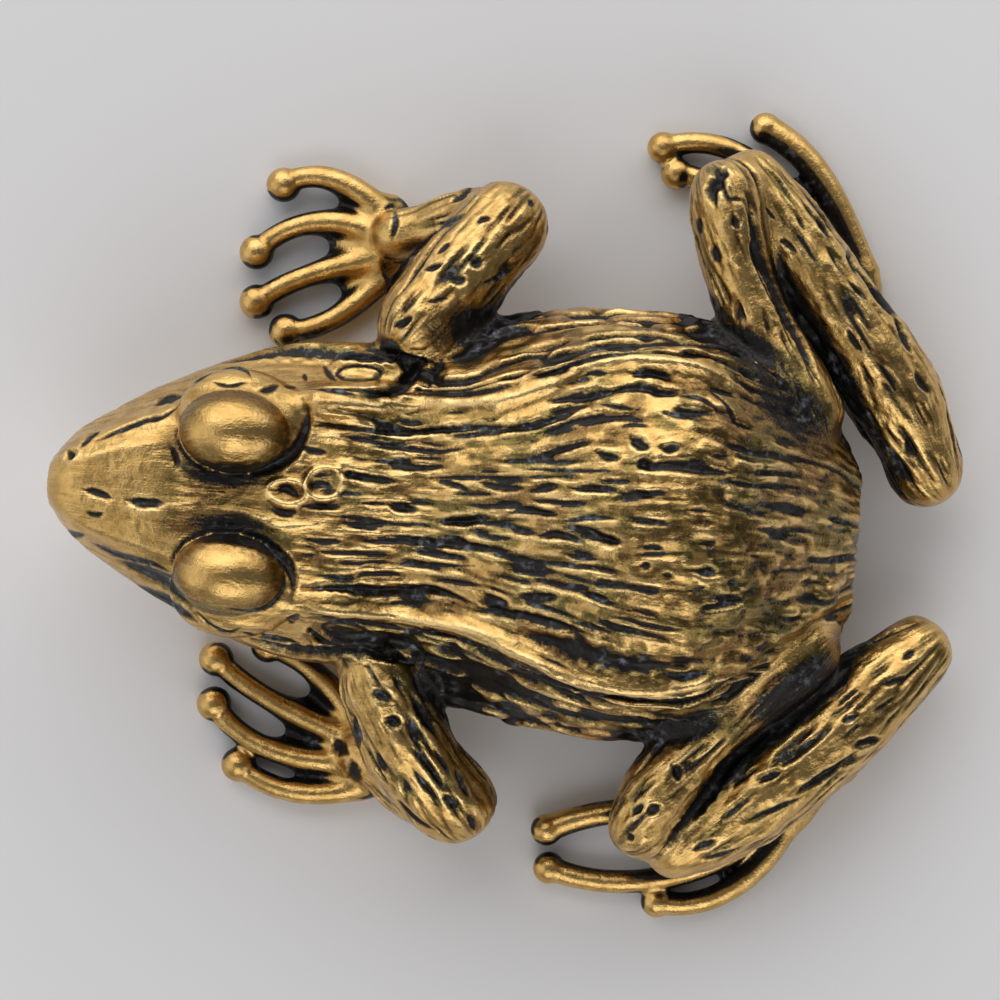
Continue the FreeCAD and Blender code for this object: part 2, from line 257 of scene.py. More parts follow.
# Half the distance between the two ridges of the back, and the back's height, along the body.
RIDGE_A = (0, 5, 10, 16, 18, 20, 22, 24, 26, 28, 30, 34, 38)
RIDGE_B = (1.5, 3.2, 4.2, 4.5, 4.7, 5.3, 6.0, 6.6, 6.9, 6.7, 5.8, 4.6, 3.5)
BACK_A = (0, 4, 8, 14, 22, 26, 30, 34, 38)
BACK_Z = (5.5, 8.0, 10.0, 10.8, 12.8, 13.0, 10.5, 6.5, 4.0)
BELLY_Z = 1.0
# Typical radii in mm, which turn angles round the body and round a limb into lengths.
BODY_RADIUS = 7.0
LIMB_RADIUS = 2.4


def body_place(points):
    """Distance behind the snout, and to the frog's right of its middle line."""
    flat = points[:, :2] - SNOUT
    return flat @ ALONG, flat @ ACROSS


def flow_of(points, a, b):
    """Coordinates that run with the skin's folds: along the body, and round it from the middle line."""
    wide = np.interp(a, RIDGE_A, RIDGE_B)
    high = np.interp(a, BACK_A, BACK_Z)
    turn = np.arctan2(b / wide, np.maximum(points[:, 2] - BELLY_Z, 0.05) / (high - BELLY_Z))
    return a.copy(), turn * BODY_RADIUS


def limb_flow(node, points):
    """Coordinates along a limb's axis and round it from its top, and the distance from the axis."""
    own, _ = node_mesh(node)
    middle = own.mean(axis=0)
    axis = np.linalg.svd(own - middle, full_matrices=False)[2][0]
    axis = axis * np.sign(axis[0] + 1e-6)
    side = np.cross([0, 0, 1.0], axis)
    side /= np.linalg.norm(side)
    top = np.cross(axis, side)
    away = points - middle
    out, up = away @ side, away @ top
    return away @ axis, LIMB_RADIUS * np.arctan2(out, up), np.hypot(out, up)


def places_of(points, a, b, owner, nodes):
    """Each vertex's coordinates along and round the body or its limb, and its distance from a limb's axis."""
    along, around = flow_of(points, a, b)
    spoke = np.full(len(a), np.inf)
    for index, node in enumerate(nodes):
        own = owner == index
        if plain(node) in LIMBS and own.any():
            along[own], around[own], spoke[own] = limb_flow(node, points[own])
    return along, around, spoke


# --- Relief ---------------------------------------------------------------------------------------------
def seen_from_above(points, normals):
    """The vertices that nothing else covers."""
    cell, half, depth = 0.15, 30, 0.7
    count = int(2 * half / cell)
    i, j = ((points[:, axis] + half) / cell for axis in (0, 1))
    i, j = i.astype(int), j.astype(int)
    top = np.zeros((count, count))
    np.maximum.at(top, (i, j), points[:, 2])
    return np.flatnonzero((points[:, 2] > top[i, j] - depth) & (normals[:, 2] > -0.1))


def tapered(along, power, ends=0.03, closed=False):
    """How full a groove or fold is along its route: the same all round, or thinning out to both ends."""
    return np.ones(len(along)) if closed else np.sin(np.pi * np.clip(along, ends, 1 - ends)) ** power


class Relief:
    """What is pressed into the surface: height in mm along the normals, and how dark each spot is, by patina
    stains and by painted shade.
    """

    def __init__(self, points, normals, owner, nodes):
        self.a, self.b = body_place(points)
        self.along, self.around, self.spoke = places_of(points, self.a, self.b, owner, nodes)
        self.height = np.zeros(len(points))
        self.dark = np.zeros(len(points))
        self.wobble = 0.75 + 0.5 * noise(5, self.along / 0.22, self.b / 0.22)
        self.level = smooth(normals[:, 2], 0.1, 0.5)
        self.seen = seen_from_above(points, normals)
        self.seen_a, self.seen_b = self.a[self.seen], self.b[self.seen]

    def near(self, route, reach):
        """The seen vertices within reach of a route, how far from it, and where along it from 0 to 1."""
        low, high = route.min(axis=0) - reach, route.max(axis=0) + reach
        pick = np.flatnonzero((self.seen_a > low[0]) & (self.seen_a < high[0])
                              & (self.seen_b > low[1]) & (self.seen_b < high[1]))
        spot = np.column_stack([self.seen_a[pick], self.seen_b[pick]])
        best = np.full(len(pick), np.inf)
        along = np.zeros(len(pick))
        steps = np.linalg.norm(np.diff(route, axis=0), axis=1)
        done = 0.0
        for start, end, step in zip(route[:-1], route[1:], steps):
            t = np.clip((spot - start) @ (end - start) / step ** 2, 0, 1)
            away = np.linalg.norm(spot - start - t[:, None] * (end - start), axis=1)
            closer = away < best
            best[closer] = away[closer]
            along[closer] = (done + t[closer] * step) / steps.sum()
            done += step
        return self.seen[pick], best, along

    def cut(self, width, depth, *route, dark=1.0, closed=False):
        """A groove along a route seen from above, dark inside and with a slightly raised rim."""
        path = rounded(route, closed)
        reach = width * 1.6 + 0.1
        spots, away, along = self.near(path, reach)
        taper = tapered(along, 0.45, closed=closed)
        share = away / (0.5 * width * taper * self.wobble[spots])
        hollow = np.exp(-1.1 * share ** 2)
        rim = np.exp(-((share - 1.75) / 0.5) ** 2)
        self.height[spots] += depth * taper * self.level[spots] * (0.2 * rim - hollow)
        stain = dark * taper * np.exp(-0.62 * share ** 2)
        self.dark[spots] = np.maximum(self.dark[spots], stain)

    def raise_up(self, width, height, *route, closed=False):
        """A rounded fold along a route seen from above, polished by wear."""
        path = rounded(route, closed)
        spots, away, along = self.near(path, width * 1.3)
        taper = tapered(along, 0.5, closed=closed)
        crest = taper * np.exp(-4.4 * (away / width) ** 2)
        self.height[spots] += height * crest - 0.6 * crest * np.minimum(self.height[spots], 0)
        self.dark[spots] *= 1 - 0.85 * crest

    def stain(self, width, dark, *route):
        """Patina left in a hollow area."""
        path = rounded(route, False)
        spots, away, along = self.near(path, width)
        taper = tapered(along, 0.5, ends=0.1)
        spread = np.exp(-(2 * away / width) ** 4)
        self.dark[spots] = np.maximum(self.dark[spots], dark * taper * spread)


def rounded(route, closed):
    """The route's points joined by a smooth curve."""
    points = np.array(route, float)
    if closed:
        points = np.concatenate([points[-1:], points, points[:2]])
    else:
        points = np.concatenate([2 * points[:1] - points[1:2], points, 2 * points[-1:] - points[-2:-1]])
    t = np.linspace(0, 1, 5)[:-1, None]
    curve = []
    for p, q, r, s in zip(points, points[1:], points[2:], points[3:]):
        curve.append(0.5 * (2 * q + (r - p) * t + (2 * p - 5 * q + 4 * r - s) * t ** 2
                            + (3 * q - p - 3 * r + s) * t ** 3))
    return np.concatenate(curve + [points[-2:-1]])


def oval(a, b, long, short, turn=0.0):
    """Eight points round an oval whose long radius is turned from the body's axis."""
    c, s = math.cos(math.radians(turn)), math.sin(math.radians(turn))
    ring = [(math.cos(k * math.pi / 4) * long, math.sin(k * math.pi / 4) * short) for k in range(8)]
    return [(a + c * u - s * v, b + s * u + c * v) for u, v in ring]


# Grooves are (width, depth, then the points of the route), all in mm. A point is its distance behind the
# snout, and its distance to the frog's right of the middle line.
HEAD_GROOVES = [
    (0.18, 0.12, (1.5, 1.5), (1.9, 2.0), (2.3, 2.3)),
    (0.20, 0.16, (2.2, 1.9), (3.2, 2.4), (4.3, 2.9), (5.0, 3.1), (5.7, 3.7)),
    (0.32, 0.16, (4.5, 3.6), (5.1, 3.9), (5.7, 4.1)),
    (0.10, 0.06, (2.4, 3.6), (3.4, 4.1), (4.6, 4.7), (5.4, 5.2)),
    (0.12, 0.08, (6.1, 4.6), (6.6, 4.9), (7.1, 5.3)),
    (0.26, 0.16, (1.8, -0.25), (2.5, -0.4), (3.1, -0.55)),
    (0.36, 0.22, (3.7, -0.55), (4.6, -0.65), (5.4, -0.55)),
    (0.22, 0.14, (5.5, 1.9), (5.75, 1.4), (5.85, 0.9)),
    (0.20, 0.05, (2.0, -1.2), (2.4, -1.3), (2.8, -1.2)),
    (0.30, 0.12, (0.9, -2.15), (1.4, -2.25), (2.0, -2.2)),
    (0.25, 0.08, (2.2, -2.5), (3.6, -3.0), (5.0, -3.2), (5.9, -3.5)),
    (0.50, 0.14, (3.4, -3.2), (4.6, -3.55), (5.4, -3.8), (6.2, -4.3), (6.9, -4.9)),
    (0.40, 0.10, (3.9, -4.2), (5.2, -4.6), (6.2, -5.0), (7.2, -5.5)),
    (0.25, 0.08, (1.4, -2.8), (2.6, -3.45), (3.5, -3.9)),
    (0.12, 0.08, (7.0, 4.75), (7.8, 4.6), (8.6, 4.85)),
    (0.12, 0.08, (7.0, 5.2), (7.6, 5.45), (8.4, 5.35), (8.7, 5.0)),
    (0.28, 0.12, (9.1, 4.5), (9.6, 4.65), (9.9, 4.85)),
    (0.15, 0.08, (10.1, 4.8), (10.6, 4.8)),
    (0.14, 0.08, (10.8, 5.45), (11.0, 5.1)),
    (0.45, 0.38, (7.2, 5.7), (8.2, 5.95), (9.2, 6.25), (10.4, 6.45), (12.0, 6.45), (13.5, 6.4), (15.0, 6.45),
     (16.4, 6.2)),
    (0.50, 0.34, (13.4, 4.65), (14.4, 4.8), (15.2, 5.3), (15.6, 5.9), (15.9, 6.4)),
    (0.18, 0.12, (11.3, 4.8), (12.3, 4.75), (13.4, 4.6)),
    (0.18, 0.12, (11.6, 5.9), (11.9, 5.5), (12.3, 5.15)),
    (0.16, 0.12, (16.6, 6.4), (16.3, 5.7), (16.2, 5.1)),
    (0.15, 0.08, (10.7, -2.9), (10.75, -3.8), (10.2, -4.55), (9.4, -4.85), (8.3, -4.75)),
    (0.12, 0.10, (7.1, -5.0), (7.8, -5.6), (8.6, -5.85), (9.2, -5.5)),
    (0.18, 0.16, (9.0, -5.8), (10.0, -6.0), (11.6, -6.15)),
    (0.25, 0.16, (10.9, -5.3), (11.3, -5.0), (11.5, -4.8)),
    (0.25, 0.20, (12.0, -4.95), (11.9, -5.5), (12.6, -6.0), (13.6, -6.1)),
    (0.45, 0.36, (9.4, -6.2), (10.6, -6.45), (12.0, -6.5), (14.0, -6.3), (15.5, -6.4), (16.8, -6.7)),
    (0.42, 0.22, (6.4, 1.6), (6.9, 1.2), (8.2, 1.05), (9.6, 1.25), (10.6, 1.8), (11.1, 2.7), (11.2, 3.7),
     (10.9, 4.3)),
    (0.42, 0.22, (6.6, -2.3), (6.9, -2.0), (8.2, -1.75), (9.5, -1.95), (10.7, -2.6), (11.15, -3.4),
     (11.2, -4.3)),
    (0.30, 0.20, (10.1, 0.3), (10.5, 0.45), (11.1, 0.15)),
    (0.30, 0.20, (11.5, 0.6), (12.0, 0.75), (12.5, 0.6)),
    (0.30, 0.20, (9.9, -0.45), (10.5, -0.6), (11.1, -0.5)),
    (0.22, 0.20, (11.1, -0.25), (12.0, -0.2), (13.0, -0.15)),
    (0.30, 0.22, (12.7, 1.35), (14.0, 1.15), (15.4, 1.1)),
    (0.30, 0.12, (10.9, 2.3), (11.5, 2.15), (12.2, 2.1)),
]
# Raised folds are (width, height, then the route).
FOLDS = [
    (0.74, 0.30, (11.6, 4.2), (14.0, 4.25), (17.0, 4.45), (19.5, 4.9), (21.5, 5.7), (23.2, 6.0)),
    (0.64, 0.28, (22.4, 6.5), (24.2, 6.9), (26.4, 7.0), (28.4, 6.6), (29.8, 5.6)),
    (0.74, 0.34, (11.2, -4.55), (14.0, -4.6), (17.0, -4.75), (19.0, -4.95), (21.0, -5.75), (23.0, -6.45),
     (25.0, -6.85), (27.0, -6.85), (28.8, -6.3), (29.8, -5.4)),
    (0.45, 0.09, (0.7, 0.3), (1.4, 0.9), (2.6, 1.4), (3.6, 1.75), (4.8, 1.95)),
    (0.45, 0.08, (0.8, -1.0), (1.8, -1.75), (3.2, -2.15), (4.6, -2.45), (5.7, -2.7)),
    (0.42, 0.14, (9.4, -0.9), (10.4, -1.2), (11.6, -1.05), (12.9, -0.65)),
    (0.38, 0.12, (12.5, 1.6), (13.0, 1.7), (13.3, 1.5)),
    (0.42, 0.14, (11.5, 3.75), (12.4, 3.85), (13.3, 3.9)),
    (0.42, 0.12, (11.5, 2.75), (12.4, 2.75), (13.2, 2.7)),
    (0.30, 0.10, (11.4, -5.9), (11.9, -5.2), (11.6, -4.75)),
    (0.40, 0.14, (16.2, 6.4), (16.0, 5.8), (15.5, 5.0)),
    (0.30, 0.06, (9.0, -5.5), (10.2, -5.5), (11.4, -5.9)),
]
BACK_GROOVES = [
    (0.26, 0.24, (11.4, 3.3), (13.0, 3.2), (14.5, 3.2), (16.5, 3.4), (18.5, 3.65), (20.5, 3.9)),
    (0.34, 0.22, (19.3, 3.6), (20.6, 3.85), (21.8, 4.3), (22.6, 4.7)),
    (0.34, 0.22, (21.3, 4.95), (22.4, 5.2), (23.5, 5.45), (24.4, 5.7)),
    (0.26, 0.20, (15.4, 5.0), (17.0, 4.95), (18.6, 5.15), (20.0, 5.6)),
    (0.22, 0.16, (20.6, 6.0), (22.2, 6.6), (23.8, 7.1), (25.4, 7.35)),
    (0.32, 0.24, (18.7, 1.3), (19.6, 1.2), (20.7, 1.25)),
    (0.30, 0.24, (22.5, 1.35), (23.6, 1.45), (24.6, 1.5)),
    (0.24, 0.20, (24.9, 1.4), (25.8, 1.4), (26.7, 1.55)),
    (0.18, 0.14, (19.8, 0.0), (20.6, 0.25), (22.3, 0.2)),
    (0.22, 0.18, (22.2, -0.1), (23.4, 0.2), (24.6, 0.25)),
    (0.15, 0.10, (24.8, 0.35), (25.8, 0.3), (27.0, 0.1)),
    (0.26, 0.20, (16.8, 1.25), (17.6, 1.15), (18.4, 0.95)),
    (0.38, 0.26, (14.9, 0.1), (15.5, 0.0), (16.2, -0.05)),
    (0.36, 0.26, (17.1, -0.5), (18.3, -0.3), (19.4, -0.1)),
    (0.22, 0.16, (20.7, 1.1), (21.3, 1.2), (22.0, 1.35)),
    (0.26, 0.20, (20.8, 2.5), (21.8, 2.9), (23.4, 3.45)),
    (0.34, 0.20, (23.5, 3.0), (24.0, 2.8), (24.5, 2.8)),
    (0.42, 0.22, (24.9, 3.7), (25.2, 3.45), (25.7, 3.3)),
    (0.48, 0.22, (25.2, 2.75), (25.5, 2.65), (25.8, 2.7)),
    (0.30, 0.18, (26.2, 3.3), (26.6, 3.35), (27.0, 3.5)),
    (0.16, 0.10, (24.4, 4.1), (25.0, 4.25), (25.7, 4.2)),
    (0.14, 0.08, (23.4, 5.0), (24.4, 4.9), (25.2, 4.9)),
    (0.14, 0.08, (25.9, 4.85), (26.9, 4.75), (27.9, 4.65)),
    (0.36, 0.22, (24.7, 6.4), (25.6, 6.5), (26.5, 6.4)),
    (0.22, 0.16, (22.7, 6.15), (23.2, 6.3), (23.8, 6.35)),
    (0.30, 0.18, (23.8, 5.6), (25.2, 5.85), (26.6, 5.6)),
    (0.14, 0.08, (20.2, 2.05), (22.5, 2.1), (24.5, 2.25)),
    (0.30, 0.22, (21.2, -0.8), (22.2, -0.6), (23.3, -0.85)),
    (0.26, 0.20, (23.3, -0.4), (24.0, -0.55), (24.9, -0.8)),
    (0.22, 0.16, (22.4, -1.35), (23.2, -1.5), (24.0, -1.5)),
    (0.20, 0.14, (18.5, -0.85), (19.4, -0.95), (20.4, -0.9)),
    (0.36, 0.26, (14.8, -1.2), (16.5, -1.3), (18.6, -1.4), (20.5, -1.5)),
    (0.18, 0.14, (20.5, -1.75), (22.5, -1.85), (24.4, -1.95)),
    (0.18, 0.12, (12.9, -0.8), (13.7, -0.85), (14.6, -0.8)),
    (0.25, 0.14, (11.4, -1.6), (12.2, -1.7), (13.2, -1.6)),
    (0.15, 0.10, (20.2, -2.3), (21.0, -2.35), (21.9, -2.4)),
    (0.42, 0.26, (20.6, -3.3), (21.4, -3.35), (22.4, -3.2)),
    (0.26, 0.18, (23.2, -3.0), (23.8, -3.05), (24.5, -3.15)),
    (0.18, 0.12, (24.6, -3.8), (26.2, -4.1), (27.8, -4.2)),
    (0.18, 0.14, (22.8, -4.2), (23.8, -4.35), (24.9, -4.6)),
    (0.30, 0.14, (25.7, -1.6), (26.1, -1.65)),
    (0.22, 0.12, (26.6, -1.9), (27.1, -1.95)),
    (0.22, 0.12, (25.7, -0.85), (26.2, -0.8), (26.6, -0.85)),
    (0.15, 0.10, (15.2, -2.35), (17.0, -2.3), (18.8, -2.2)),
    (0.20, 0.14, (17.0, -2.95), (18.0, -2.95), (19.3, -3.05)),
    (0.15, 0.10, (13.8, 1.9), (15.0, 1.9), (16.6, 1.8)),
    (0.22, 0.14, (13.6, 2.5), (15.0, 2.55), (16.8, 2.5), (18.2, 2.8)),
    (0.42, 0.30, (11.5, -3.75), (13.0, -3.55), (15.0, -3.65), (17.2, -3.45), (19.0, -3.9)),
    (0.42, 0.26, (18.6, -4.1), (20.6, -4.15), (22.4, -4.4), (24.0, -4.8)),
    (0.80, 0.26, (20.8, -4.9), (22.4, -5.2), (24.2, -5.6), (26.0, -5.9), (28.0, -5.8)),
    (0.22, 0.16, (11.2, -4.95), (13.0, -4.95), (15.5, -5.15), (18.0, -5.35), (20.0, -6.0)),
    (0.30, 0.20, (19.4, -6.1), (21.6, -6.7), (23.6, -7.15), (26.0, -7.35), (28.0, -7.2)),
    (0.14, 0.08, (27.9, 6.1), (28.8, 5.3), (29.6, 4.3)),
    (0.16, 0.08, (26.6, 5.6), (27.8, 5.5), (28.6, 5.0)),
]
RIGHT_LEG_GROOVES = [
    (0.42, 0.26, (29.1, 14.3), (29.6, 13.2), (29.9, 12.2), (30.4, 11.2), (30.9, 10.2), (31.5, 9.2),
     (32.1, 8.3), (32.8, 7.0)),
    (0.46, 0.26, (27.7, 15.8), (28.0, 15.2), (27.7, 14.6), (27.9, 13.9)),
    (0.40, 0.22, (28.0, 15.4), (28.4, 15.4)),
    (0.30, 0.18, (28.7, 13.7), (28.8, 13.3), (28.95, 13.0)),
    (0.14, 0.08, (28.3, 14.3), (28.7, 14.3), (29.1, 14.35)),
    (0.20, 0.12, (27.2, 13.5), (27.4, 12.7)),
    (0.30, 0.18, (27.9, 12.3), (28.2, 11.5)),
    (0.16, 0.10, (27.6, 16.15), (28.4, 16.2)),
    (0.20, 0.12, (30.8, 12.9), (31.6, 12.3)),
    (0.24, 0.14, (31.0, 11.3), (31.3, 11.0), (31.7, 10.5)),
    (0.15, 0.10, (30.1, 14.2), (30.6, 13.6)),
    (0.14, 0.08, (31.4, 14.0), (31.9, 13.3)),
    (0.30, 0.14, (32.4, 14.0), (32.7, 13.5), (33.1, 13.1)),
    (0.30, 0.16, (33.9, 12.7), (34.0, 12.2), (34.3, 11.6)),
    (0.48, 0.24, (34.9, 11.2), (35.5, 10.7), (36.2, 10.0)),
    (0.32, 0.20, (36.2, 9.8), (36.5, 9.2), (37.0, 8.4)),
    (0.15, 0.10, (33.9, 11.3), (34.3, 10.9), (34.9, 10.5)),
    (0.24, 0.14, (34.0, 9.3), (34.3, 8.8), (34.8, 8.2)),
    (0.32, 0.22, (32.0, 9.7), (32.4, 9.1), (33.0, 8.5)),
    (0.26, 0.16, (33.1, 8.5), (33.4, 8.2), (33.8, 7.7)),
    (0.30, 0.14, (37.2, 7.6), (37.4, 7.2), (37.9, 6.7)),
    (0.30, 0.18, (34.2, 6.6), (34.6, 6.1), (35.2, 5.5)),
    (0.34, 0.20, (37.1, 4.6), (37.2, 4.3), (37.5, 3.9)),
    (0.20, 0.12, (35.4, 7.9), (35.9, 7.4), (36.5, 6.5)),
    (0.16, 0.10, (39.2, 5.2), (39.5, 4.6), (39.8, 3.9)),
    (0.40, 0.20, (36.4, 4.2), (36.9, 3.4), (37.6, 2.7)),
]
LEFT_LEG_GROOVES = [
    (0.50, 0.28, (27.6, -14.3), (28.4, -13.0), (29.4, -11.6), (30.4, -10.0), (31.2, -9.0), (32.5, -7.7)),
    (0.40, 0.22, (27.9, -10.1), (28.1, -10.4), (28.3, -10.8)),
    (0.40, 0.22, (26.9, -12.3), (27.2, -12.1), (27.5, -11.9)),
    (0.36, 0.20, (26.2, -13.5), (26.45, -13.3)),
    (0.28, 0.16, (26.3, -12.4), (26.8, -11.9)),
    (0.28, 0.16, (25.5, -13.7), (25.9, -14.3)),
    (0.30, 0.18, (29.7, -10.5), (30.0, -10.1), (30.4, -9.5)),
    (0.30, 0.18, (31.7, -10.6), (32.1, -10.4), (32.7, -10.1)),
    (0.32, 0.20, (33.4, -11.0), (34.4, -10.3), (35.5, -9.4)),
    (0.20, 0.12, (31.3, -12.4), (32.6, -11.7), (33.7, -11.2)),
    (0.26, 0.16, (29.1, -13.8), (29.5, -13.6), (30.1, -13.3)),
    (0.16, 0.10, (29.5, -14.2), (30.4, -13.9), (31.3, -13.5)),
    (0.26, 0.16, (35.1, -7.8), (35.5, -7.6), (35.9, -7.4)),
    (0.26, 0.14, (36.8, -6.1), (37.3, -5.9), (37.9, -5.6)),
    (0.30, 0.18, (35.7, -8.8), (36.2, -8.6), (36.9, -8.4)),
    (0.16, 0.10, (34.8, -7.2), (35.3, -6.7), (35.9, -6.2)),
    (0.22, 0.12, (37.6, -4.9), (38.2, -4.5)),
    (0.20, 0.12, (33.0, -9.3), (33.6, -8.9), (34.3, -8.5)),
    (0.16, 0.10, (36.5, -7.2), (37.0, -6.9), (37.5, -6.5)),
]
ARM_GROOVES = [
    (0.22, 0.12, (14.0, 13.1), (14.1, 12.4), (14.0, 11.7)),
    (0.16, 0.10, (14.3, 13.2), (15.0, 13.6), (15.7, 13.7)),
    (0.18, 0.14, (13.8, 7.9), (13.9, 9.2), (14.3, 10.2), (14.9, 11.0), (15.8, 12.0), (16.6, 12.6)),
    (0.22, 0.12, (15.8, 11.9), (16.4, 12.4), (17.1, 12.9)),
    (0.26, 0.14, (16.5, 13.5), (16.9, 13.8), (17.4, 14.3)),
    (0.20, 0.12, (17.7, 12.5), (18.3, 12.8)),
    (0.22, 0.14, (15.6, 10.3), (16.0, 10.4), (16.4, 10.6)),
    (0.36, 0.20, (16.8, 9.9), (17.1, 9.95), (17.5, 10.0)),
    (0.44, 0.22, (17.6, 10.6), (17.9, 10.8), (18.1, 11.0)),
    (0.34, 0.20, (14.5, 7.7), (14.9, 7.95), (15.3, 8.2)),
    (0.28, 0.14, (19.9, 13.5), (20.15, 13.7)),
    (0.14, 0.08, (15.8, 8.8), (16.3, 9.0), (16.9, 9.2)),
    (0.16, 0.10, (16.1, 11.0), (16.6, 11.6)),
    (0.24, 0.14, (18.2, 9.9), (18.8, 10.2), (19.4, 10.7)),
    (0.46, 0.22, (14.8, -7.9), (15.2, -8.1), (15.7, -8.3)),
    (0.40, 0.20, (15.4, -9.1), (15.8, -9.2), (16.2, -9.3)),
    (0.40, 0.24, (16.5, -8.0), (17.2, -9.0), (17.8, -9.7)),
    (0.30, 0.22, (16.6, -10.2), (17.5, -11.1), (18.3, -12.1)),
    (0.22, 0.16, (16.8, -11.2), (17.3, -11.8), (17.9, -12.4)),
    (0.36, 0.20, (18.2, -12.2), (18.5, -12.5), (18.9, -12.8)),
    (0.26, 0.14, (15.1, -10.6), (15.6, -11.5)),
    (0.16, 0.10, (16.2, -12.6), (17.0, -13.3), (17.9, -13.8)),
    (0.16, 0.10, (17.6, -10.2), (18.0, -10.8), (18.4, -11.4)),
    (0.32, 0.18, (14.0, -9.1), (14.2, -9.8), (14.3, -10.7)),
    (0.28, 0.14, (19.3, -13.0), (19.7, -13.8)),
    (0.22, 0.14, (18.6, -11.1), (19.3, -12.3)),
    (0.50, 0.18, (13.1, -10.5), (13.4, -10.8), (13.8, -11.0)),
    (0.50, 0.18, (14.0, -11.3), (14.1, -11.8), (14.4, -12.3)),
]
# Stains are (width, darkness, then the route).
STAINS = [
    (2.6, 0.42, (9.6, 0.2), (11.5, 0.3), (13.2, 0.5)),
    (2.2, 0.44, (5.8, 0.2), (7.6, 0.0), (9.6, 0.0)),
    (1.2, 0.70, (5.8, -1.3), (7.4, -1.3), (9.0, -1.2), (10.6, -1.7)),
    (1.0, 0.70, (5.6, 1.8), (6.6, 0.9), (8.4, 0.7), (10.0, 1.0)),
    (2.0, 0.90, (16.6, 7.6), (18.2, 8.0), (19.8, 8.3)),
    (2.0, 0.90, (27.2, 8.6), (29.4, 8.0), (31.4, 7.0)),
    (3.0, 0.66, (28.4, 8.2), (30.6, 6.5), (32.6, 4.8), (34.6, 3.4)),
    (2.2, 0.90, (16.2, -6.9), (17.8, -7.6), (19.2, -8.6)),
    (1.6, 0.85, (26.0, -8.9), (28.0, -8.6), (30.2, -7.6)),
    (2.0, 0.80, (30.8, -8.4), (33.0, -6.4), (35.0, -4.6)),
    (1.0, 0.85, (12.0, -5.6), (14.0, -5.8), (16.4, -5.9)),
    (1.2, 0.50, (30.0, -2.8), (31.5, -3.4), (33.0, -4.0)),
]


def kinds_of(owner, nodes):
    """Which vertices belong to the body, the limbs, the digits with their palms and soles, and so on."""
    kind = np.array([plain(node) for node in nodes])[owner]
    groups = {
        "body": ("head", "lower_jaw", "eardrum", "torso", "back_ridge"),
        "limb": LIMBS,
        "digit": ("finger", "toe", "hand", "foot"),
        "web": ("hand_web", "foot_web"),
        "eye": ("eye",),
    }
    return {name: np.isin(kind, group) for name, group in groups.items()}


def calm_of(relief, points, normals, quads, owner, kinds):
    """How free each spot is to carry grown folds: not at seams, underneath, or where a limb's folds meet."""
    shared = np.where(kinds["body"], -1, owner).astype(float)
    at_seam = (evened(shared, quads, 1) != shared).astype(float)
    calm = 1 - smooth(evened(at_seam, quads, 8), 0.02, 0.35)
    calm = calm * smooth(normals[:, 2], -0.8, -0.3) * smooth(points[:, 2], 0.1, 0.7)
    return calm * smooth(relief.spoke, 0.6, 1.7)


class Areas:
    """How much each spot belongs to the flanks, the left flank, the rump, the nape and back, and the brow."""

    def __init__(self, along, b):
        ridge = np.interp(along, RIDGE_A, RIDGE_B)
        self.flank = smooth(np.abs(b), ridge + 0.1, ridge + 0.9)
        self.left_flank = self.flank * (b < 0)
        self.rump = smooth(along, 26.4, 28.6)
        self.nape = smooth(along, 10.5, 13.0) * (1 - self.flank * (1 - smooth(along, 15.5, 17.0)))
        brow_ends = smooth(along, 5.2, 6.4) * smooth(-along, -11.0, -10.0)
        self.brow = brow_ends * smooth(-np.abs(b + 0.3), -2.6, -1.4)


# The grown folds' height in mm, on a limb and on the smooth skin of the head, and the height at which they
# stain fully. There is a groove where the folds' noise is under its level, at its deepest EDGE below that.
LIMB_FOLD = 0.055
HEAD_FOLD = 0.010
FULL_STAIN = 0.05
LIMB_LEVEL = 0.37
BODY_LEVEL = 0.41
EDGE = 0.14


def grow_folds(relief, kinds, areas, calm, bend):
    """Fine folds that run along the body and the limbs, black between them and browned on their slopes."""
    along, around, flank = relief.along, relief.around, areas.flank
    body_fold = HEAD_FOLD + areas.nape * (0.055 + 0.07 * flank + 0.02 * areas.rump)
    amount = calm * np.where(kinds["body"], body_fold, np.where(kinds["limb"], LIMB_FOLD, 0.0))

    spacing = np.where(kinds["limb"], 0.30, 0.27 - 0.05 * flank)
    fold = 0.65 * noise(22, along / 1.7 + bend, around / spacing + 2.0 * bend)
    fold += 0.35 * noise(23, along / 0.9, around / 0.18)
    level = np.where(kinds["limb"], LIMB_LEVEL, BODY_LEVEL + 0.15 * flank + 0.10 * areas.left_flank)
    relief.height -= 1.6 * amount * smooth(level - fold, 0.0, EDGE)
    relief.height += 1.9 * amount * (fold - 0.5)

    stained = np.clip(amount / FULL_STAIN, 0, 1)
    black = smooth(level - 0.035 - fold, 0.0, EDGE) * np.where(kinds["limb"], 0.56, 0.9)
    brown = 0.42 * smooth(level + 0.17 - fold, 0.0, 0.2)
    relief.dark = np.maximum(relief.dark, stained * np.maximum(black, brown))


